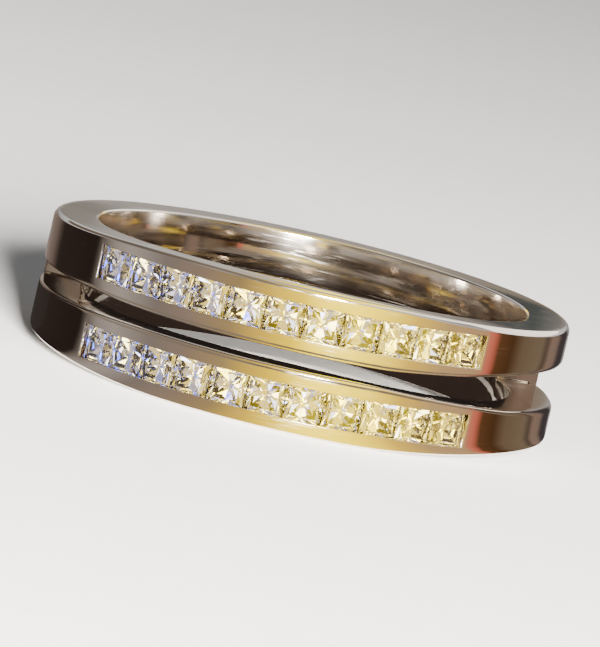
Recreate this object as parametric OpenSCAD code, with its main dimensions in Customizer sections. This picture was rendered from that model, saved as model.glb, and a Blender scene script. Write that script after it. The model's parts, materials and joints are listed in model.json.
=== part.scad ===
// Band ring of two parallel rows with square stones side by side in a channel across the front.
// The ring lies on its side: +Z runs along the finger, the front of the ring faces -Y, and the
// origin is on the ring's axis at its lowest plane. Angles are counted from the front towards +X.

/* [Ring] */
// Inner diameter of the ring, in mm
finger_d = 17.3; // [15:0.1:22]
// Thickness of the metal between the bore and the outside
wall_t = 1.75; // [1.7:0.05:2.4]

/* [Rows] */
// Width of each row across the front
front_w = 2.45; // [2.4:0.05:2.8]
// How far each row's outer side is lowered at the sides and the back
side_drop = 0.4; // [0.1:0.05:0.6]
// Angle from the front at which a row starts to narrow
narrow_angle = 25; // [0:1:40]
// Distance between the middles of the two rows
row_pitch = 3.12; // [3:0.01:4]

/* [Slot] */
// Height of the slot between the rows, at the +X side
slot_right = 1.5; // [1.2:0.05:1.6]
// Height of the slot between the rows, at the -X side
slot_left = 0.85; // [0.8:0.05:1.2]
// Angle from the front at which the rows join, on the +X side
join_right = 114; // [90:1:150]
// Angle from the front at which the rows join, on the -X side
join_left = 92; // [90:1:150]
// How far the web that joins the rows is set back from the bore
web_inset = 0.15; // [0.1:0.05:0.3]

/* [Stones] */
// Stones in each row
stone_count = 11; // [5:1:13]
// Side of each square stone
stone_w = 1.47; // [1.3:0.01:1.5]
// Gap between neighbouring stones
stone_gap = 0.03; // [0.02:0.01:0.08]
// Depth of the stones' tables below the outside of the rows
table_inset = 0.06; // [0.02:0.01:0.1]
// How far each rail of the channel reaches over the stones' edges
rail_over = 0.09; // [0.04:0.01:0.12]

/* [Hidden] */
$fn = 128;
bore_r = finger_d / 2;
outer_r = bore_r + wall_t;
ring_h = row_pitch + front_w;
row_middles = [front_w / 2, front_w / 2 + row_pitch];
spare = 1;

// The outer sides of the rows go down along a long arc, from the narrowing angle to the ring's
// axis. The slot widens along such arcs too. They are turned to either side, so that at the
// middle of the front the slot is even from the bore to the outside.
narrow_run = outer_r * cos(narrow_angle);
slot_front = row_pitch - front_w;
slot_turn = 11;
slot_run = bore_r * cos(slot_turn);
overlap_angle = 1;
arc_fn = 2880;

// Heights in a stone count from the lower edge of its girdle, outwards from the ring's axis.
half_w = stone_w / 2;
girdle_t = 0.04;
crown_h = 0.20;
table_half = 0.50;
table_h = girdle_t + crown_h;
pavilion_h = 0.90;
tip_h = 0.86;
culet_h = 0.84;
corner_cut = 0.06;

girdle_r = outer_r - table_inset - table_h;
stone_step = 2 * atan((half_w + stone_gap / 2) / girdle_r);
end_play = 0.1;
channel_angle = stone_count * stone_step / 2 + end_play;

// The seat leaves some play round the girdles, under rails whose undersides slope up to the
// mouth. A ledge narrows the channel below the girdles, and its floor lies clear of the culets.
seat_play = 0.03;
rail_low = 0.06;
rail_high = 0.13;
ledge_depth = 0.30;
ledge_w = 0.115;
floor_play = 0.08;
floor_half = 0.15;

// Channel from its mouth down to its floor, as [radius, half width]
channel_rows = [
    [outer_r + spare, half_w - rail_over],
    [girdle_r + girdle_t + rail_high, half_w - rail_over],
    [girdle_r + girdle_t + rail_low, half_w + seat_play],
    [girdle_r - seat_play, half_w + seat_play],
    [girdle_r - ledge_depth, half_w - ledge_w],
    [girdle_r - pavilion_h - floor_play, floor_half]
];

SIDES = ["lower", "upper"];
function two_digits(n) = str(n < 10 ? "0" : "", n);
function stone_name(side, n) = str("stone_", side, "_", two_digits(n));
function stone_angle(n) = (n - (stone_count + 1) / 2) * stone_step;

// Everything above a level face that an arc lowers, from a run before the ring's axis
module above_arc(run, drop) {
    reach = outer_r + 2 * spare;
    arc_r = (run ^ 2 + drop ^ 2) / (2 * drop);
    intersection() {
        translate([0, 0, arc_r - drop])
            rotate([0, 90, 0])
                cylinder(r = arc_r, h = 2 * reach, center = true, $fn = arc_fn);
        translate([-reach, -reach, -drop]) cube([2 * reach, reach, front_w]);
    }
    translate([-reach, 0, -drop]) cube([2 * reach, reach, front_w]);
}

// The lower half of the slot's space and some room above it, with its arc turned by an angle
module slot_half(drop, turn) {
    reach = outer_r + spare;
    translate([0, 0, -slot_front / 2]) {
        rotate([0, 0, turn]) above_arc(slot_run, drop);
        translate([-reach, -reach, 0]) cube([2 * reach, 2 * reach, front_w]);
    }
}

// A block around the ring from one angle to another, with its middle at the level of the slot
module sector(from_angle, to_angle, r, height) {
    core_r = bore_r - spare;
    rotate([0, 0, from_angle - 90])
        rotate_extrude(angle = to_angle - from_angle)
            translate([core_r, -height / 2]) square([r - core_r, height]);
}

// Open slot between the rows on one side of the front, up to where they join
module slot_side(width, turn, from_angle, to_angle) {
    drop = (width - slot_front) / 2;
    intersection() {
        sector(from_angle, to_angle, outer_r + spare, row_pitch);
        slot_half(drop, turn);
        mirror([0, 0, 1]) slot_half(drop, turn);
    }
}

// The slot from one join round the front to the other, and inside the web the relief that
// keeps it off the finger
module slot() {
    translate([0, 0, ring_h / 2]) {
        slot_side(slot_right, -slot_turn, 0, join_right);
        slot_side(slot_left, slot_turn, -join_left, 0);
        sector(
            join_right - overlap_angle, 360 - join_left + overlap_angle,
            bore_r + web_inset, slot_left
        );
    }
}

// Channel for the stones of one row, with a seat under each rail
module stone_channel() {
    far_side = [for (i = [len(channel_rows) - 1 : -1 : 0]) [channel_rows[i][0], -channel_rows[i][1]]];
    rotate([0, 0, -90 - channel_angle])
        rotate_extrude(angle = 2 * channel_angle)
            polygon(concat(channel_rows, far_side));
}

module double_band() {
    color([0.80, 0.75, 0.68])
        difference() {
            cylinder(r = outer_r, h = ring_h);
            translate([0, 0, -spare]) cylinder(r = bore_r, h = ring_h + 2 * spare);
            translate([0, 0, ring_h]) above_arc(narrow_run, side_drop);
            mirror([0, 0, 1]) above_arc(narrow_run, side_drop);
            slot();
            for (z = row_middles) translate([0, 0, z]) stone_channel();
        }
}

// Everything beyond a plane that leans by tilt from the stone's axis, at a distance from its centre
module beyond_plane(turn, tilt, distance) {
    block = 4;
    rotate([0, tilt, turn])
        translate([-block / 2, -block / 2, distance]) cube(block);
}

// Facets repeated on the stone's four sides
module on_four_sides(turn, tilt, distance) {
    for (quarter = [0 : 90 : 270]) beyond_plane(quarter + turn, tilt, distance);
}

// Square stone with cut corners, a table, two steps of crown facets and three of pavilion facets
module square_stone() {
    girdle_angle = 62;
    ridge_angle = 46;
    tip_angle = 40;
    ridge_lean = 12;
    tip_lean = 30;
    crown_angle = atan(crown_h / (half_w - table_half));
    corner_angle = 34;
    corner_reach = half_w * sqrt(2) - corner_cut;
    difference() {
        translate([-half_w, -half_w, -culet_h]) cube([stone_w, stone_w, culet_h + table_h]);
        on_four_sides(45, 90, corner_reach);
        on_four_sides(0, crown_angle, half_w * sin(crown_angle) + girdle_t * cos(crown_angle));
        on_four_sides(45, corner_angle, corner_reach * sin(corner_angle) + girdle_t * cos(corner_angle));
        on_four_sides(0, 180 - girdle_angle, half_w * sin(girdle_angle));
        for (lean = [-ridge_lean, ridge_lean])
            on_four_sides(lean, 180 - ridge_angle, pavilion_h * cos(ridge_angle));
        for (lean = [-tip_lean, tip_lean])
            on_four_sides(lean, 180 - tip_angle, tip_h * cos(tip_angle));
    }
}

module stone(z, n) {
    color([0.88, 0.92, 0.96])
        translate([0, 0, z])
            rotate([0, 0, stone_angle(n)])
                translate([0, -girdle_r, 0])
                    rotate([90, 0, 0]) square_stone();
}

double_band();
for (side = [0, 1], n = [1 : stone_count])
    stone(row_middles[side], n);
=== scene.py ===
# Looks of a band ring of two rows with channels of square stones, lying on its side
import json
import math
import random

import bmesh
import bpy
from mathutils import Matrix, Vector


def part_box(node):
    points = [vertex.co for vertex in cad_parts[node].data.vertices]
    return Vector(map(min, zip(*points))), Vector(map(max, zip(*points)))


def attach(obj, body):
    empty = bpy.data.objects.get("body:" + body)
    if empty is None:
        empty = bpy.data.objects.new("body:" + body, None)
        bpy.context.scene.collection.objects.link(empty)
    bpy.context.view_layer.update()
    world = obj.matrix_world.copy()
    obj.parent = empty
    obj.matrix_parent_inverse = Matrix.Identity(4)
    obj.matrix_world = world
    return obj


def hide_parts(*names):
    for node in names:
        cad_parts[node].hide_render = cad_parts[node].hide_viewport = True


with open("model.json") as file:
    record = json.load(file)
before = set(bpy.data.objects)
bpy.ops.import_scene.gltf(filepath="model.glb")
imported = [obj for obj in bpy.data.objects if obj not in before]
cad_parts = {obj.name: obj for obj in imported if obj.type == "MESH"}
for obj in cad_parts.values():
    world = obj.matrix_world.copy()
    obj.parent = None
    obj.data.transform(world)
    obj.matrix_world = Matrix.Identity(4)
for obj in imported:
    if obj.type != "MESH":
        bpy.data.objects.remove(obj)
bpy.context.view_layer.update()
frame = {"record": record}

MM = 0.001

# Sizes in millimetres and degrees, read from the frame where it holds them. Angles are counted
# from the front of the ring towards +X.
band_low, band_high = (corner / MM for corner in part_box("double_band"))
lower_low, lower_high = (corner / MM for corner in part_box("stone_lower_06"))
upper_low, upper_high = (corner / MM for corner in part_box("stone_upper_06"))
BORE_R = frame["record"]["mounts"][0]["dims"]["r_mm"]
OUTER_R = (band_high.x - band_low.x) / 2
RING_H = band_high.z
MIDDLE = RING_H / 2
STONE_W = lower_high.z - lower_low.z
ROW_MIDDLES = ((lower_low.z + lower_high.z) / 2, (upper_low.z + upper_high.z) / 2)
FRONT_HALF = ROW_MIDDLES[0]
ROW_H = ROW_MIDDLES[1] - MIDDLE
SIDES = ("lower", "upper")
ROW_SIGNS = (-1, 1)

# The outer sides of the rows and the slot between them
SIDE_DROP = 0.4
NARROW_ANGLE = 25.0
SLOT_FRONT = 2 * (ROW_H - FRONT_HALF)
SLOT_RIGHT = 1.5
SLOT_LEFT = 0.85
SLOT_TURN = 11.0
JOIN_RIGHT = 114.0
JOIN_LEFT = 92.0
WEB_INSET = 0.15
CREASE_SOFTNESS = 0.012
NARROW_RUN = OUTER_R * math.cos(math.radians(NARROW_ANGLE))
SLOT_RUN = BORE_R * math.cos(math.radians(SLOT_TURN))

# Stones, whose heights count from the lower edge of the girdle, outwards from the ring's axis.
# The rim is the narrow facet along each of the table's sides.
STONES_PER_ROW = 11
STONE_GAP = 0.03
HALF_W = STONE_W / 2
CORNER_CUT = 0.06
GIRDLE_T = 0.04
CROWN_H = 0.20
TABLE_HALF = 0.50
TABLE_H = GIRDLE_T + CROWN_H
TABLE_INSET = 0.06
PAVILION_H = 0.90
TIP_H = 0.86
CULET_H = 0.84
CORNER_ANGLE = 34
GIRDLE_ANGLE = 62
RIDGE_ANGLE = 46
RIDGE_LEAN = 12
TIP_ANGLE = 40
TIP_LEAN = 30
RIM_ANGLE = 25
RIM_REACH = 0.02
RIM_DEPTH = 0.012
HAND_LEAN = 0.9
HAND_SEED = 7
GIRDLE_R = OUTER_R - TABLE_INSET - TABLE_H
STONE_STEP = 2 * math.degrees(math.atan((HALF_W + STONE_GAP / 2) / GIRDLE_R))

# The stones' channel
END_PLAY = 0.1
SEAT_PLAY = 0.03
RAIL_OVER = 0.09
RAIL_LOW = 0.06
RAIL_HIGH = 0.13
LEDGE_DEPTH = 0.30
LEDGE_W = 0.115
FLOOR_PLAY = 0.08
FLOOR_HALF = 0.15
MOUTH_HALF = HALF_W - RAIL_OVER
CHANNEL_ANGLE = STONES_PER_ROW * STONE_STEP / 2 + END_PLAY

# Half of its section from the mouth down to the floor, as (radius, half height)
CHANNEL_PROFILE = (
    (OUTER_R, MOUTH_HALF),
    (GIRDLE_R + GIRDLE_T + RAIL_HIGH, MOUTH_HALF),
    (GIRDLE_R + GIRDLE_T + RAIL_LOW, HALF_W + SEAT_PLAY),
    (GIRDLE_R - SEAT_PLAY, HALF_W + SEAT_PLAY),
    (GIRDLE_R - LEDGE_DEPTH, HALF_W - LEDGE_W),
    (GIRDLE_R - PAVILION_H - FLOOR_PLAY, FLOOR_HALF),
)

# Past the channel's end the lines of its mouth run on over the plain band and draw together
PLAIN_HALF = 0.2
PLAIN_SLOPE = 0.02

# Steps between the points of the surfaces
RADIUS_STEP = 0.4
ANGLE_STEP = 1.0
CARD_STEP = 2.0
CORNERS_PER_METRE = 1e8

# Roundings of the edges; those of the rims and the slot are given as (angle, rounding)
OUTER_ROUNDING = ((-180, 0.30), (-75, 0.30), (-40, 0.15), (20, 0.15), (60, 0.30), (180, 0.30))
SLOT_ROUNDING = ((-180, 0.10), (45, 0.10), (75, 0.30), (102, 0.30), (112, 0.10), (180, 0.10))
BORE_ROUNDING = 0.10
MOUTH_ROUNDING = 0.04
JOIN_ROUNDING = 0.06
WIDEST_ROUNDING = 0.30
ROUNDING_SEGMENTS = 5

# How near an edge has to be to the bore, the outside, a channel or a join to be a part of it
WALL_NEARNESS = 0.05
MOUTH_NEARNESS = 0.01
JOIN_NEARNESS = 0.2
ROUNDED_FROM = 30
SHARP_FROM = 35

# Camera
CAMERA_AZIMUTH = 3.7
CAMERA_ELEVATION = 8.0
CAMERA_ROLL = 13.0
CAMERA_DISTANCE = 250.0
FRAME_SHAPE = (600, 647)
RING_SHARE = 0.88

# Light inside a cut stone bounces more often than Blender follows it unless told to
GLOSSY_BOUNCES = 12


def lowered(y, run, drop):
    """How far a long arc, from a run before the ring's axis, lowers a face at a place along Y."""
    arc_r = (run ** 2 + drop ** 2) / (2 * drop)
    over = drop
    if y < 0:
        over -= arc_r - math.sqrt(arc_r ** 2 - y ** 2)
    return (math.hypot(over, CREASE_SOFTNESS) + over) / 2


def row_edge(angle, radius):
    """Height of a row's outer side above the middle of the ring."""
    return MIDDLE - lowered(-radius * math.cos(math.radians(angle)), NARROW_RUN, SIDE_DROP)


def slot_edge(angle, radius):
    """Half the slot's height."""
    widest = SLOT_RIGHT if angle > 0 else SLOT_LEFT
    y = -radius * math.cos(math.radians(abs(angle) + SLOT_TURN))
    return SLOT_FRONT / 2 + lowered(y, SLOT_RUN, (widest - SLOT_FRONT) / 2)


def at(angle, radius, height):
    """A point round the ring's axis, in metres."""
    turn = math.radians(angle)
    return Vector((radius * math.sin(turn), -radius * math.cos(turn), height)) * MM


def towards(azimuth, elevation):
    """The direction from the ring to a camera or a light."""
    turn = math.radians(azimuth)
    lift = math.radians(elevation)
    return Vector((math.sin(turn) * math.cos(lift), -math.cos(turn) * math.cos(lift), math.sin(lift)))


def turned(degrees, axis):
    return Matrix.Rotation(math.radians(degrees), 4, axis)


def spread(start, end, step):
    """Evenly spaced values from start to end, about a step apart."""
    count = max(1, round(abs(end - start) / step))
    return [start + (end - start) * i / count for i in range(count + 1)]


def value_at(stops, angle):
    """The value at an angle between stops given as (angle, value)."""
    for (first, low), (second, high) in zip(stops, stops[1:]):
        if angle <= second:
            return low + (high - low) * (angle - first) / (second - first)
    return stops[-1][1]


class Skin:
    """Collects faces by their corners' places and joins corners that coincide."""

    def __init__(self):
        self.shape = bmesh.new()
        self.found = {}

    def corner(self, place):
        key = tuple(round(value * CORNERS_PER_METRE) for value in place)
        if key not in self.found:
            self.found[key] = self.shape.verts.new(place)
        return self.found[key]

    def face(self, places):
        corners = []
        for place in places:
            corner = self.corner(place)
            if corner not in corners:
                corners.append(corner)
        if len(corners) > 2:
            self.shape.faces.new(corners)

    def strip(self, first, second):
        for i in range(len(first) - 1):
            self.face((first[i], first[i + 1], second[i + 1], second[i]))


def to_mesh(shape, name):
    """A mesh of a shape, which is freed."""
    mesh = bpy.data.meshes.new(name)
    shape.to_mesh(mesh)
    shape.free()
    return mesh


def link(mesh, smooth=True):
    """An object with the mesh's name in the scene."""
    thing = bpy.data.objects.new(mesh.name, mesh)
    bpy.context.scene.collection.objects.link(thing)
    for polygon in mesh.polygons:
        polygon.use_smooth = smooth
    return thing


def register(piece, node):
    """Fixes a piece to the ring, in place of a CAD node."""
    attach(piece, "root")
    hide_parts(node)


WEB_R = BORE_R + WEB_INSET
WEB_RADII = spread(WEB_R, OUTER_R, RADIUS_STEP)
RADII = [BORE_R] + WEB_RADII
RELIEF_HALF = slot_edge(-JOIN_LEFT, OUTER_R)


def is_channel(angle):
    return abs(angle) < CHANNEL_ANGLE


def is_open(angle):
    return -JOIN_LEFT < angle < JOIN_RIGHT


def seam(angle):
    """Height of a line on the web that leads from the slot's edge at one join to that at the other."""
    share = (angle % 360 - JOIN_RIGHT) / (360 - JOIN_LEFT - JOIN_RIGHT)
    return slot_edge(JOIN_RIGHT, OUTER_R) * (1 - share) + RELIEF_HALF * share


def mouth_half(angle):
    """Half the height of the channel's mouth, or between its lines past its end."""
    past = max(0, abs(angle) - CHANNEL_ANGLE)
    return max(PLAIN_HALF, MOUTH_HALF - PLAIN_SLOPE * past)


def channel_section(angle, sign):
    """Points round the channel of one row, from the mouth down to the floor and back."""
    half = [(radius, -height) for radius, height in CHANNEL_PROFILE]
    profile = half + [(radius, -height) for radius, height in reversed(half)]
    return [at(angle, radius, MIDDLE + sign * (ROW_H + height)) for radius, height in profile]


def row_lines(angle, sign, is_cut, is_joined):
    """The lines that one row's faces run along, at one angle."""
    def across(radius, *heights):
        return [at(angle, radius, MIDDLE + sign * height) for height in heights]

    def outwards(edge, radii):
        return [at(angle, radius, MIDDLE + sign * edge(angle, radius)) for radius in radii]

    mouth = mouth_half(angle)
    top = row_edge(angle, OUTER_R)
    foot = seam(angle) if is_joined else slot_edge(angle, OUTER_R)
    lines = [
        outwards(row_edge, RADII),
        across(OUTER_R, top, ROW_H + mouth),
        across(OUTER_R, ROW_H - mouth, foot),
        channel_section(angle, sign) if is_cut else across(OUTER_R, ROW_H - mouth, ROW_H + mouth),
    ]
    if is_joined:
        lines.append(across(BORE_R, row_edge(angle, BORE_R), foot, RELIEF_HALF))
        lines.append([across(radius, RELIEF_HALF)[0] for radius in (BORE_R, WEB_R)])
    else:
        lines.append(across(BORE_R, row_edge(angle, BORE_R), slot_edge(angle, BORE_R)))
        lines.append(outwards(slot_edge, RADII))
    return lines


def add_web_faces(skin, a, b):
    """The web's inside and outside between the rows, from angle a to angle b."""
    def upright(angle, radius, half):
        return [at(angle, radius, MIDDLE + sign * half) for sign in ROW_SIGNS]

    skin.strip(upright(a, WEB_R, RELIEF_HALF), upright(b, WEB_R, RELIEF_HALF))
    skin.strip(upright(a, OUTER_R, seam(a)), upright(b, OUTER_R, seam(b)))


def add_step(skin, a, b):
    """The faces of the ring from angle a to angle b."""
    centre = (a + b) / 2
    is_joined = not is_open(centre)
    for sign in ROW_SIGNS:
        first, second = (row_lines(angle, sign, is_channel(centre), is_joined) for angle in (a, b))
        for line, next_line in zip(first, second):
            skin.strip(line, next_line)
    if is_joined:
        add_web_faces(skin, a, b)


def add_join_face(skin, angle):
    """The web's end, with the relief's step where the slot is higher than it."""
    top = slot_edge(angle, OUTER_R)
    heights = (-top, -RELIEF_HALF, RELIEF_HALF, top)
    for low, high in zip(heights, heights[1:]):
        radii = WEB_RADII if low == -RELIEF_HALF else RADII
        skin.strip(*[[at(angle, radius, MIDDLE + height) for radius in radii] for height in (low, high)])


def band_shape():
    """The band with sharp edges."""
    skin = Skin()
    stops = (-180, -JOIN_LEFT, -CHANNEL_ANGLE, 0, CHANNEL_ANGLE, JOIN_RIGHT, 180)
    for start, end in zip(stops, stops[1:]):
        angles = spread(start, end, ANGLE_STEP)
        for a, b in zip(angles, angles[1:]):
            add_step(skin, a, b)
    for angle in (-JOIN_LEFT, JOIN_RIGHT):
        add_join_face(skin, angle)
    for angle in (-CHANNEL_ANGLE, CHANNEL_ANGLE):
        for sign in ROW_SIGNS:
            skin.face(channel_section(angle, sign))
    bmesh.ops.recalc_face_normals(skin.shape, faces=skin.shape.faces)
    return skin.shape


def rounding(edge):
    """How wide an edge's rounding is."""
    if edge.calc_face_angle(0) < math.radians(ROUNDED_FROM):
        return 0.0
    middle = (edge.verts[0].co + edge.verts[1].co) / 2 / MM
    radius = math.hypot(middle.x, middle.y)
    height = abs(middle.z - MIDDLE)
    angle = math.degrees(math.atan2(middle.x, -middle.y))
    at_outside = radius > OUTER_R - WALL_NEARNESS
    if min(abs(angle + JOIN_LEFT), abs(angle - JOIN_RIGHT)) < JOIN_NEARNESS:
        return JOIN_ROUNDING
    if abs(height - ROW_H) < MOUTH_HALF + MOUTH_NEARNESS:
        return MOUTH_ROUNDING if at_outside else 0.0
    if at_outside:
        return value_at(OUTER_ROUNDING if height > ROW_H else SLOT_ROUNDING, angle)
    return BORE_ROUNDING if radius < BORE_R + WALL_NEARNESS else 0.0


def round_edges(piece):
    """Rounds the weighted edges and lets the flat faces keep their shading."""
    bevel = piece.modifiers.new("rims", "BEVEL")
    bevel.width = WIDEST_ROUNDING * MM
    bevel.segments = ROUNDING_SEGMENTS
    bevel.limit_method = "WEIGHT"
    bevel.offset_type = "OFFSET"
    bevel.use_clamp_overlap = False
    normals = piece.modifiers.new("normals", "WEIGHTED_NORMAL")
    normals.keep_sharp = True
    normals.weight = 100
    depsgraph = bpy.context.evaluated_depsgraph_get()
    mesh = bpy.data.meshes.new_from_object(piece.evaluated_get(depsgraph))
    piece.modifiers.clear()
    piece.data = mesh


def mark_sharp(mesh):
    """Marks the edges that stay sharp, such as the corners of the stones' channel."""
    shape = bmesh.new()
    shape.from_mesh(mesh)
    for edge in shape.edges:
        edge.smooth = edge.calc_face_angle(0) < math.radians(SHARP_FROM)
    shape.to_mesh(mesh)
    shape.free()


def make_band(material):
    shape = band_shape()
    weight = shape.edges.layers.float.new("bevel_weight_edge")
    for edge in shape.edges:
        edge[weight] = rounding(edge) / WIDEST_ROUNDING
    piece = link(to_mesh(shape, "ring_metal"))
    round_edges(piece)
    mark_sharp(piece.data)
    piece.data.materials.append(material)
    register(piece, "double_band")


def facet_planes():
    """The planes that cut a stone, as turn and tilt in degrees and distance from its centre."""
    crown = math.degrees(math.atan(CROWN_H / (HALF_W - TABLE_HALF)))
    corner_reach = HALF_W * math.sqrt(2) - CORNER_CUT
    planes = [(0, 0, TABLE_H), (0, 180, CULET_H)]

    def ring(turn, tilt, distance):
        planes.extend((quarter + turn, tilt, distance) for quarter in (0, 90, 180, 270))

    def through(tilt, reach, height):
        return reach * math.sin(math.radians(tilt)) + height * math.cos(math.radians(tilt))

    ring(0, 90, HALF_W)
    ring(45, 90, corner_reach)
    ring(0, crown, through(crown, HALF_W, GIRDLE_T))
    ring(45, CORNER_ANGLE, through(CORNER_ANGLE, corner_reach, GIRDLE_T))
    ring(0, RIM_ANGLE, through(RIM_ANGLE, TABLE_HALF + RIM_REACH, TABLE_H) - RIM_DEPTH)
    ring(0, 180 - GIRDLE_ANGLE, through(180 - GIRDLE_ANGLE, HALF_W, 0))
    for lean in (-RIDGE_LEAN, RIDGE_LEAN):
        ring(lean, 180 - RIDGE_ANGLE, PAVILION_H * math.cos(math.radians(RIDGE_ANGLE)))
    for lean in (-TIP_LEAN, TIP_LEAN):
        ring(lean, 180 - TIP_ANGLE, TIP_H * math.cos(math.radians(TIP_ANGLE)))
    return planes


def cut_stone():
    """A square stone in millimetres, with its table towards +Z, cut facet by facet."""
    block = 4
    nearness = 1e-6
    shape = bmesh.new()
    bmesh.ops.create_cube(shape, size=block)
    for turn, tilt, distance in facet_planes():
        spin = math.radians(turn)
        lean = math.radians(tilt)
        normal = Vector((math.sin(lean) * math.cos(spin), math.sin(lean) * math.sin(spin), math.cos(lean)))
        bmesh.ops.bisect_plane(
            shape,
            geom=list(shape.verts) + list(shape.edges) + list(shape.faces),
            dist=nearness,
            plane_co=normal * distance,
            plane_no=normal,
            clear_outer=True,
        )
        rim = [edge for edge in shape.edges if len(edge.link_faces) == 1]
        if rim:
            bmesh.ops.holes_fill(shape, edges=rim, sides=0)
    bmesh.ops.recalc_face_normals(shape, faces=shape.faces)
    return shape


def make_stone(template, side, number, material, chance):
    """One stone in its seat, with the slight lean that hand setting leaves."""
    seat = (
        Matrix.Translation((0, 0, ROW_MIDDLES[side]))
        @ turned((number - (STONES_PER_ROW + 1) / 2) * STONE_STEP, "Z")
        @ Matrix.Translation((0, -GIRDLE_R, 0))
        @ turned(90, "X")
    )
    lean = turned(chance.uniform(-HAND_LEAN, HAND_LEAN), "X")
    lean = lean @ turned(chance.uniform(-HAND_LEAN, HAND_LEAN), "Y")
    shape = template.copy()
    bmesh.ops.transform(shape, matrix=Matrix.Scale(MM, 4) @ seat @ lean, verts=shape.verts)
    node = f"stone_{SIDES[side]}_{number:02d}"
    mesh = to_mesh(shape, "cut_" + node)
    mesh.materials.append(material)
    register(link(mesh, smooth=False), node)


def make_stones(material):
    template = cut_stone()
    chance = random.Random(HAND_SEED)
    for side in range(len(SIDES)):
        for number in range(1, STONES_PER_ROW + 1):
            make_stone(template, side, number, material, chance)
    template.free()


# Materials, with the scales of their noise in features per metre and ranges as (low, high)
PATCH_RANGE = (0.3, 0.7)
METAL_PATCHES = 400
METAL_COLOURS = ((0.3, (0.67, 0.61, 0.54)), (0.7, (0.73, 0.67, 0.60)))
METAL_ROUGHNESS = (0.03, 0.09)
HAIRS = 900
HAIR_STRETCH = (1, 1, 14)
HAIR_RANGE = (0.55, 0.75)
HAIR_ROUGHNESS = (0.0, 0.10)
STONE_IOR = 2.42
STONE_PATCHES = 700
STONE_COLOURS = ((0.3, (0.97, 0.98, 1.0)), (0.7, (1.0, 1.0, 1.0)))
STONE_ROUGHNESS = (0.0, 0.02)
STONE_RIPPLES = 1500


def new_material(name):
    material = bpy.data.materials.new(name)
    material.use_nodes = True
    nodes = material.node_tree.nodes
    return material, nodes, material.node_tree.links, nodes["Principled BSDF"]


def noise(nodes, links, scale, detail=4, stretch=(1, 1, 1), space="Object"):
    """Noise in the object's own coordinates, in features per metre, or in generated ones."""
    place = nodes.new("ShaderNodeTexCoord")
    shape = nodes.new("ShaderNodeMapping")
    shape.inputs["Scale"].default_value = stretch
    links.new(place.outputs[space], shape.inputs["Vector"])
    tone = nodes.new("ShaderNodeTexNoise")
    tone.inputs["Scale"].default_value = scale
    tone.inputs["Detail"].default_value = detail
    links.new(shape.outputs["Vector"], tone.inputs["Vector"])
    return tone.outputs["Fac"]


def spread_over(nodes, links, source, start, target):
    """A value mapped from the start range to the target range."""
    change = nodes.new("ShaderNodeMapRange")
    change.inputs["From Min"].default_value = start[0]
    change.inputs["From Max"].default_value = start[1]
    change.inputs["To Min"].default_value = target[0]
    change.inputs["To Max"].default_value = target[1]
    links.new(source, change.inputs["Value"])
    return change.outputs["Result"]


def calculated(nodes, links, operation, first, second):
    """A math node's result for two outputs of other nodes."""
    result = nodes.new("ShaderNodeMath")
    result.operation = operation
    links.new(first, result.inputs[0])
    links.new(second, result.inputs[1])
    return result.outputs["Value"]


def colour_ramp(nodes, links, source, stops):
    """The colour for a value from 0 to 1, through stops given as (value, colour)."""
    ramp = nodes.new("ShaderNodeValToRGB")
    elements = ramp.color_ramp.elements
    elements.remove(elements[1])
    for i, (place, colour) in enumerate(stops):
        element = elements[0] if i == 0 else elements.new(place)
        element.position = place
        element.color = (*colour, 1)
    links.new(source, ramp.inputs["Fac"])
    return ramp.outputs["Color"]


def split_place(nodes, links, space):
    """The X, Y and Z of a place on the object."""
    place = nodes.new("ShaderNodeTexCoord")
    split = nodes.new("ShaderNodeSeparateXYZ")
    links.new(place.outputs[space], split.inputs["Vector"])
    return split.outputs


def bumped(nodes, links, shader, source, strength, depth):
    """Raises the surface by a source, in millimetres."""
    bump = nodes.new("ShaderNodeBump")
    bump.inputs["Strength"].default_value = strength
    bump.inputs["Distance"].default_value = depth * MM
    links.new(source, bump.inputs["Height"])
    links.new(bump.outputs["Normal"], shader.inputs["Normal"])


def metal_material():
    """Polished white gold with faint wear and hair-fine scratches along the rows."""
    material, nodes, links, shader = new_material("white_gold")
    shader.inputs["Metallic"].default_value = 1.0
    patches = noise(nodes, links, METAL_PATCHES)
    links.new(colour_ramp(nodes, links, patches, METAL_COLOURS), shader.inputs["Base Color"])
    hairs = noise(nodes, links, HAIRS, detail=6, stretch=HAIR_STRETCH)
    wear = spread_over(nodes, links, patches, PATCH_RANGE, METAL_ROUGHNESS)
    scratches = spread_over(nodes, links, hairs, HAIR_RANGE, HAIR_ROUGHNESS)
    links.new(calculated(nodes, links, "ADD", wear, scratches), shader.inputs["Roughness"])
    bumped(nodes, links, shader, hairs, strength=0.06, depth=0.01)
    return material


def stone_material():
    """Clear cut stone with a faint polish haze on its facets."""
    material, nodes, links, shader = new_material("cut_stone")
    shader.inputs["Transmission Weight"].default_value = 1.0
    shader.inputs["IOR"].default_value = STONE_IOR
    patches = noise(nodes, links, STONE_PATCHES)
    links.new(colour_ramp(nodes, links, patches, STONE_COLOURS), shader.inputs["Base Color"])
    haze = spread_over(nodes, links, patches, PATCH_RANGE, STONE_ROUGHNESS)
    links.new(haze, shader.inputs["Roughness"])
    bumped(nodes, links, shader, noise(nodes, links, STONE_RIPPLES), strength=0.04, depth=0.004)
    return material


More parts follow.
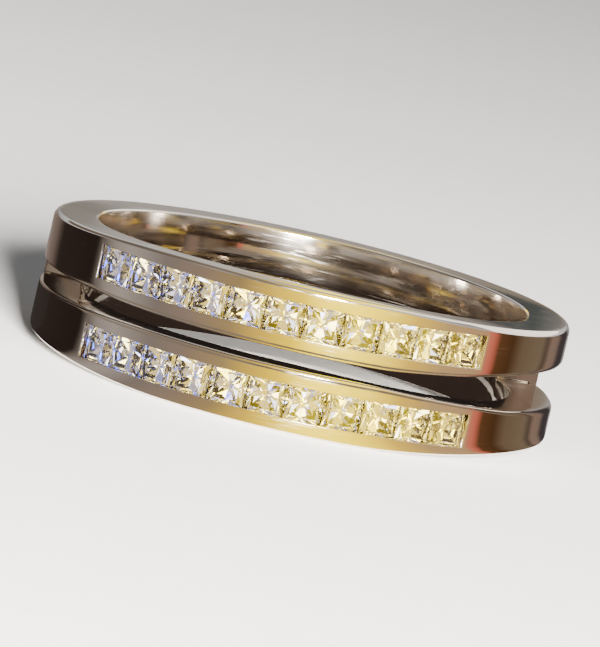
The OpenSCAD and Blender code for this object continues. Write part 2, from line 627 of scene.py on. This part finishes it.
# The stage's floor, light and room
FLOOR_REACH = 3.0
FLOOR_GRAIN = 500
FLOOR_COLOURS = ((0.3, (0.775, 0.765, 0.745)), (0.7, (0.80, 0.79, 0.77)))
FLOOR_ROUGHNESS = 0.6
KEY_AZIMUTH = 14
KEY_ELEVATION = 11
KEY_DISTANCE = 350
KEY_SIZE = 70
KEY_POWER = 24.0
KEY_COLOUR = (1.0, 0.97, 0.93)
WORLD_PATCHES = 1.6
WORLD_COLOURS = ((0.35, (0.06, 0.058, 0.055)), (0.65, (0.36, 0.37, 0.39)))


def make_floor():
    """A pale floor, which the stones don't show."""
    mesh = bpy.data.meshes.new("floor")
    corners = [(x * FLOOR_REACH, y * FLOOR_REACH, 0) for x, y in ((-1, -1), (1, -1), (1, 1), (-1, 1))]
    mesh.from_pydata(corners, [], [(0, 1, 2, 3)])
    material, nodes, links, shader = new_material("floor")
    grain = noise(nodes, links, FLOOR_GRAIN, detail=6)
    links.new(colour_ramp(nodes, links, grain, FLOOR_COLOURS), shader.inputs["Base Color"])
    shader.inputs["Roughness"].default_value = FLOOR_ROUGHNESS
    shader.inputs["Specular IOR Level"].default_value = 0.0
    mesh.materials.append(material)
    floor = link(mesh, smooth=False)
    floor.visible_transmission = False


def make_key_light():
    """A soft square light that faces the ring."""
    back = towards(KEY_AZIMUTH, KEY_ELEVATION)
    data = bpy.data.lights.new("key", "AREA")
    data.size = KEY_SIZE * MM
    data.energy = KEY_POWER
    data.color = KEY_COLOUR
    light = bpy.data.objects.new("key", data)
    light.location = back * KEY_DISTANCE * MM
    light.rotation_mode = "QUATERNION"
    light.rotation_quaternion = back.to_track_quat("Z", "Y")
    bpy.context.scene.collection.objects.link(light)


def make_world():
    """A plain studio whose soft light is a little uneven, as flat polished metal shows."""
    world = bpy.data.worlds.new("studio")
    world.use_nodes = True
    nodes = world.node_tree.nodes
    links = world.node_tree.links
    tone = noise(nodes, links, WORLD_PATCHES, detail=1, space="Generated")
    links.new(colour_ramp(nodes, links, tone, WORLD_COLOURS), nodes["Background"].inputs["Color"])
    bpy.context.scene.world = world


def make_camera():
    """A camera at the photo's angle to the ring, above the floor."""
    back = towards(CAMERA_AZIMUTH, CAMERA_ELEVATION)
    centre = Vector((0, 0, MIDDLE))
    data = bpy.data.cameras.new("camera")
    camera = bpy.data.objects.new("camera", data)
    camera.location = (centre + back * CAMERA_DISTANCE) * MM
    camera.rotation_mode = "QUATERNION"
    camera.rotation_quaternion = back.to_track_quat("Z", "Y") @ turned(CAMERA_ROLL, "Z").to_quaternion()
    wide = 2 * OUTER_R / RING_SHARE
    tall = wide * FRAME_SHAPE[1] / FRAME_SHAPE[0]
    data.lens = data.sensor_width * CAMERA_DISTANCE / tall
    data.clip_start = 0.01
    data.clip_end = 10
    bpy.context.scene.collection.objects.link(camera)
    bpy.context.scene.camera = camera


def emission_setup(name):
    """An emission material, its nodes and the colour input of its light."""
    material = bpy.data.materials.new(name)
    material.use_nodes = True
    nodes = material.node_tree.nodes
    links = material.node_tree.links
    nodes.clear()
    glow = nodes.new("ShaderNodeEmission")
    output = nodes.new("ShaderNodeOutputMaterial")
    links.new(glow.outputs["Emission"], output.inputs["Surface"])
    return material, nodes, links, glow.inputs["Color"]


def plain_glow(name, colour):
    material, _, _, glow_colour = emission_setup(name)
    glow_colour.default_value = (*colour, 1)
    return material


def add_card(mesh, material, turn=0.0, for_stones=False):
    """A glowing card that only polished metal mirrors, or that only the stones show."""
    mesh.materials.append(material)
    card = link(mesh)
    card.rotation_euler.z = math.radians(turn)
    card.visible_camera = False
    card.visible_diffuse = False
    card.visible_shadow = False
    card.visible_volume_scatter = False
    card.visible_glossy = not for_stones
    card.visible_transmission = for_stones


def wall(name, start, end, section):
    """A wall round the ring, through the points that section gives at each angle."""
    skin = Skin()
    angles = spread(start, end, CARD_STEP)
    for a, b in zip(angles, angles[1:]):
        skin.strip(section(a), section(b))
    return to_mesh(skin.shape, name)


def profiled_wall(name, start, end, profile):
    """A wall round the ring with a profile of (radius, height)."""
    return wall(name, start, end, lambda angle: [at(angle, radius, height) for radius, height in profile])


def azimuth_factor(nodes, links):
    """0 to 1 once round the object's own axis, 0.5 towards its -Y."""
    place = split_place(nodes, links, "Object")
    flip = nodes.new("ShaderNodeMath")
    flip.operation = "MULTIPLY"
    flip.inputs[1].default_value = -1
    links.new(place["Y"], flip.inputs[0])
    turn = calculated(nodes, links, "ARCTAN2", place["X"], flip.outputs["Value"])
    return spread_over(nodes, links, turn, (-math.pi, math.pi), (0, 1))


def glow_by_azimuth(name, stops):
    """A glow with colours through stops given as (azimuth in degrees, colour)."""
    material, nodes, links, glow_colour = emission_setup(name)
    shares = [((azimuth + 180) / 360, colour) for azimuth, colour in stops]
    links.new(colour_ramp(nodes, links, azimuth_factor(nodes, links), shares), glow_colour)
    return material


# Colours that the outside of the ring mirrors, by its angle from the camera
SURROUND = (
    (-180, (0.50, 0.46, 0.42)),
    (-90, (0.50, 0.46, 0.42)),
    (-82, (0.28, 0.22, 0.19)),
    (-75, (0.20, 0.15, 0.13)),
    (-70, (0.040, 0.029, 0.026)),
    (-53, (0.030, 0.020, 0.017)),
    (-47, (0.44, 0.40, 0.37)),
    (-42, (0.54, 0.49, 0.46)),
    (-32, (0.32, 0.28, 0.26)),
    (-23, (0.42, 0.32, 0.25)),
    (-14, (0.58, 0.42, 0.19)),
    (-7, (1.40, 0.95, 0.10)),
    (-1, (2.30, 1.65, 0.007)),
    (5, (4.10, 3.15, 0.007)),
    (12, (4.10, 3.15, 0.007)),
    (25, (1.55, 1.04, 0.14)),
    (33, (0.90, 0.61, 0.28)),
    (42.8, (0.76, 0.50, 0.27)),
    (44.6, (1.00, 0.25, 0.16)),
    (45.8, (0.90, 0.22, 0.15)),
    (47.5, (0.16, 0.075, 0.032)),
    (52, (0.11, 0.052, 0.022)),
    (56, (0.22, 0.155, 0.10)),
    (64, (0.25, 0.19, 0.13)),
    (67, (0.12, 0.085, 0.065)),
    (69.5, (0.32, 0.22, 0.17)),
    (73, (0.28, 0.20, 0.16)),
    (76, (0.07, 0.055, 0.058)),
    (81, (0.06, 0.05, 0.055)),
    (85, (0.48, 0.44, 0.42)),
    (128, (0.28, 0.22, 0.16)),
    (180, (0.50, 0.46, 0.42)),
)
SURROUND_R = 12.6
SURROUND_H = 5.8
SURROUND_PROFILE = (
    (OUTER_R + 0.05, 0.01),
    (OUTER_R + 1.2, 0.05),
    (SURROUND_R - 0.2, 0.3),
    (SURROUND_R, 1.0),
    (SURROUND_R, SURROUND_H),
)


def mirrored(angle):
    """Azimuth on the surround that the ring's outside shows at an angle from the camera."""
    if abs(angle) > 90:
        return angle
    turn = math.radians(angle)
    return math.degrees(2 * turn - math.asin(OUTER_R / SURROUND_R * math.sin(turn)))


def make_surround():
    """A glowing wall close round the ring, which only polished metal mirrors: painted reflections on the
    ring's outside, its yellow highlight included.
    """
    material = glow_by_azimuth("surround", [(mirrored(angle), colour) for angle, colour in SURROUND])
    add_card(profiled_wall("surround", -180, 180, SURROUND_PROFILE), material, CAMERA_AZIMUTH)


# The dark band before the surround, at the slot's level. Away from the front its middle sinks
# and its half height grows, by amounts given for the full angle. Its ends run to a point.
# Painted shade: a dark glowing band that polished metal mirrors through the slot
GAP_SHADE_COLOUR = (0.32, 0.27, 0.22)
GAP_R = SURROUND_R - 0.05
GAP_MIDDLE = 2.46
GAP_HALF = 0.25
GAP_SINK = 0.09
GAP_RISE_RIGHT = 0.16
GAP_RISE_LEFT = 0.04
GAP_FULL_ANGLE = 55
GAP_END_ANGLE = 80.0
GAP_POINT_ANGLE = 20


def gap_section(angle):
    """The lower and the upper edge of the dark band at an angle."""
    share = (angle / GAP_FULL_ANGLE) ** 2
    middle = GAP_MIDDLE - GAP_SINK * share
    rise = GAP_RISE_RIGHT if angle > 0 else GAP_RISE_LEFT
    half = (GAP_HALF + rise * share) * min(1, (GAP_END_ANGLE - abs(angle)) / GAP_POINT_ANGLE)
    return [at(angle, GAP_R, middle + sign * half) for sign in (-1, 1)]


def make_gap_card():
    """A dark glowing band level with the slot, so that the bore mirrors painted shade instead of the
    surround through it.
    """
    mesh = wall("gap_card", -GAP_END_ANGLE, GAP_END_ANGLE, gap_section)
    add_card(mesh, plain_glow("gap_card", GAP_SHADE_COLOUR))


# The dark band low on the left, from its faded end behind the ring to the angle from the camera
# at which the ring's outside mirrors its other end
SHADE_END = -165.0
SHADE_START = -70
SHADE_COLOURS = (
    (SHADE_END, (0.50, 0.46, 0.42)),
    (-124, (0.045, 0.036, 0.032)),
)
SHADE_PROFILE = (
    (OUTER_R + 0.1, 0.04),
    (OUTER_R + 1.2, 0.08),
    (SURROUND_R - 0.25, 0.35),
    (SURROUND_R - 0.1, 1.0),
    (SURROUND_R - 0.1, 2.1),
)


def make_shade_card():
    """A dark band low on the left, which only the lower row's outside mirrors."""
    mesh = profiled_wall("shade_card", SHADE_END, mirrored(SHADE_START), SHADE_PROFILE)
    add_card(mesh, glow_by_azimuth("shade_card", SHADE_COLOURS), CAMERA_AZIMUTH)


def add_panel(name, stops, corners):
    """A flat card with colours through stops from its left to its right."""
    material, nodes, links, glow_colour = emission_setup(name)
    across = split_place(nodes, links, "Generated")["X"]
    links.new(colour_ramp(nodes, links, across, stops), glow_colour)
    skin = Skin()
    skin.face([Vector(corner) * MM for corner in corners])
    add_card(to_mesh(skin.shape, name), material, CAMERA_AZIMUTH)


# Panels high above the ring, as (left, right, near, far). The front one is coloured, the side
# one white and the left one dim.
OVERHEAD_H = 100.0
FRONT_OVERHEAD = (-100, 100, -160, 20)
SIDE_OVERHEAD = (50, 600, 20, 600)
LEFT_OVERHEAD = (-600, -100, -160, 300)
WHITE_GLOW = (2.60, 2.45, 2.20)
DIM_GLOW = (0.20, 0.16, 0.13)
OVERHEAD_COLOURS = (
    (0.0, (0.30, 0.25, 0.20)),
    (0.35, (0.36, 0.29, 0.20)),
    (0.46, (1.30, 0.95, 0.25)),
    (0.54, (3.80, 2.90, 0.05)),
    (0.68, (3.80, 2.90, 0.05)),
    (0.75, (2.40, 2.00, 1.20)),
    (0.88, WHITE_GLOW),
)


def add_overhead_card(name, stops, reach):
    """A panel that shows as a thin light along the roundings of the ring's rims."""
    left, right, near, far = reach
    corners = ((left, near), (right, near), (right, far), (left, far))
    add_panel(name, stops, [(x, y, OVERHEAD_H) for x, y in corners])


def make_overhead_cards():
    add_overhead_card("front_overhead", OVERHEAD_COLOURS, FRONT_OVERHEAD)
    add_overhead_card("side_overhead", ((0, WHITE_GLOW),), SIDE_OVERHEAD)
    add_overhead_card("left_overhead", ((0, DIM_GLOW),), LEFT_OVERHEAD)


# Panels behind the ring, one above the other. The top of the ring mirrors the lower one on its
# far half and the upper one on its near half.
BACK_DISTANCE = 30.0
BACK_HALF_WIDTH = 14.0
BACK_HEIGHTS = (4.0, 8.7, 12.0)
FAR_COLOURS = (
    (0.0, (0.27, 0.25, 0.22)),
    (0.14, (0.32, 0.29, 0.26)),
    (0.20, (0.52, 0.49, 0.46)),
    (0.26, (0.85, 0.83, 0.80)),
    (0.66, (0.75, 0.70, 0.62)),
    (0.74, (0.10, 0.10, 0.10)),
    (0.86, (0.09, 0.10, 0.095)),
    (0.92, (0.30, 0.28, 0.25)),
)
NEAR_COLOURS = (
    (0.0, (0.27, 0.25, 0.22)),
    (0.14, (0.30, 0.28, 0.25)),
    (0.34, (0.42, 0.36, 0.30)),
    (0.43, (0.90, 0.62, 0.26)),
    (0.48, (2.10, 1.50, 0.05)),
    (0.53, (3.80, 2.90, 0.007)),
    (0.62, (3.80, 2.90, 0.007)),
    (0.67, (1.70, 1.25, 0.35)),
    (0.73, (0.30, 0.22, 0.15)),
    (0.77, (0.06, 0.06, 0.062)),
    (0.86, (0.09, 0.10, 0.095)),
    (0.92, (0.30, 0.28, 0.25)),
)


def make_back_cards():
    cards = (("far_card", FAR_COLOURS), ("near_card", NEAR_COLOURS))
    for (name, stops), low, high in zip(cards, BACK_HEIGHTS, BACK_HEIGHTS[1:]):
        corners = ((-1, low), (1, low), (1, high), (-1, high))
        add_panel(name, stops, [(x * BACK_HALF_WIDTH, BACK_DISTANCE, z) for x, z in corners])


DOME_R = 400.0
DOME_PATCHES = 2.5
DOME_COLOURS = ((0.35, (0.16, 0.155, 0.15)), (0.65, (0.95, 0.96, 0.98)))


def dome_mesh(name, radius, subdivisions):
    """A sphere round the ring, with its radius in millimetres."""
    shape = bmesh.new()
    bmesh.ops.create_icosphere(shape, subdivisions=subdivisions, radius=radius * MM)
    return to_mesh(shape, name)


def make_dome():
    """A wide dome of soft uneven light."""
    material, nodes, links, glow_colour = emission_setup("dome")
    tone = noise(nodes, links, DOME_PATCHES, detail=1)
    links.new(colour_ramp(nodes, links, tone, DOME_COLOURS), glow_colour)
    add_card(dome_mesh("dome", DOME_R, subdivisions=4), material)


# Painted shade: a dark glowing disc inside the ring that only the metal's reflections show
INNER_SHADE_COLOUR = (0.05, 0.035, 0.03)
INNER_R = BORE_R + 0.3
INNER_H = 0.02


def make_inner_card():
    """A dark round card under the finger hole, which only polished metal mirrors: painted shade in the
    bore's reflections.
    """
    shape = bmesh.new()
    bmesh.ops.create_circle(shape, cap_ends=True, radius=INNER_R * MM, segments=96)
    bmesh.ops.translate(shape, vec=(0, 0, INNER_H * MM), verts=shape.verts)
    add_card(to_mesh(shape, "inner_card"), plain_glow("inner_card", INNER_SHADE_COLOUR))


# The dark band just inside the bore, from the slot's lower side up
SLOT_SHADE_COLOUR = (0.02, 0.015, 0.013)
SLOT_SHADE_R = BORE_R - 0.1
SLOT_SHADE_H = 0.32
SLOT_SHADE_LEFT = -80
SLOT_SHADE_RIGHT = 100


def slot_shade_section(angle):
    low = MIDDLE - slot_edge(angle, BORE_R)
    return [at(angle, SLOT_SHADE_R, height) for height in (low, low + SLOT_SHADE_H)]


def make_slot_shade():
    """A dark band, which the slot's lower side mirrors."""
    mesh = wall("slot_shade", SLOT_SHADE_LEFT, SLOT_SHADE_RIGHT, slot_shade_section)
    add_card(mesh, plain_glow("slot_shade", SLOT_SHADE_COLOUR))


# Lamps and the room between them, cool on the left and warm on the right
LAMPS_R = 60
LAMPS_SCALE = 48
LAMP_EDGE = (0.42, 0.28)
LAMP_POWERS = (0.15, 1.0)
LAMP_DRIFT = (-0.06, 0.08)
LAMP_COLOURS = (
    (0.30, (0.8, 2.0, 20.0)),
    (0.41, (1.2, 2.6, 20.0)),
    (0.46, (14.0, 15.0, 20.0)),
    (0.51, (32.0, 27.0, 11.0)),
    (0.60, (40.0, 31.0, 3.0)),
    (0.80, (40.0, 31.0, 3.0)),
)
ROOM_COLOURS = (
    (0.36, (0.50, 0.52, 0.95)),
    (0.46, (1.40, 1.06, 0.48)),
    (0.56, (2.15, 1.55, 0.18)),
    (0.80, (2.15, 1.52, 0.18)),
)


def make_lamps():
    """A dome of many small lamps of uneven power, which only the stones show."""
    material, nodes, links, glow_colour = emission_setup("lamps")
    place = nodes.new("ShaderNodeTexCoord")
    spots = nodes.new("ShaderNodeTexVoronoi")
    spots.inputs["Scale"].default_value = LAMPS_SCALE
    links.new(place.outputs["Object"], spots.inputs["Vector"])
    chances = nodes.new("ShaderNodeSeparateColor")
    links.new(spots.outputs["Color"], chances.inputs["Color"])
    lit = spread_over(nodes, links, spots.outputs["Distance"], LAMP_EDGE, (0, 1))
    power = spread_over(nodes, links, chances.outputs["Green"], (0, 1), LAMP_POWERS)
    drift = spread_over(nodes, links, chances.outputs["Red"], (0, 1), LAMP_DRIFT)
    side = azimuth_factor(nodes, links)
    mix = nodes.new("ShaderNodeMix")
    mix.data_type = "RGBA"
    links.new(colour_ramp(nodes, links, side, ROOM_COLOURS), mix.inputs["A"])
    lamp_side = calculated(nodes, links, "ADD", side, drift)
    links.new(colour_ramp(nodes, links, lamp_side, LAMP_COLOURS), mix.inputs["B"])
    links.new(calculated(nodes, links, "MULTIPLY", lit, power), mix.inputs["Factor"])
    links.new(mix.outputs["Result"], glow_colour)
    add_card(dome_mesh("lamps", LAMPS_R, subdivisions=5), material, CAMERA_AZIMUTH, for_stones=True)


bpy.context.scene.cycles.glossy_bounces = GLOSSY_BOUNCES
make_camera()
make_world()
make_key_light()
make_floor()
make_surround()
make_gap_card()
make_shade_card()
make_overhead_cards()
make_back_cards()
make_dome()
make_inner_card()
make_slot_shade()
make_lamps()
make_band(metal_material())
make_stones(stone_material())
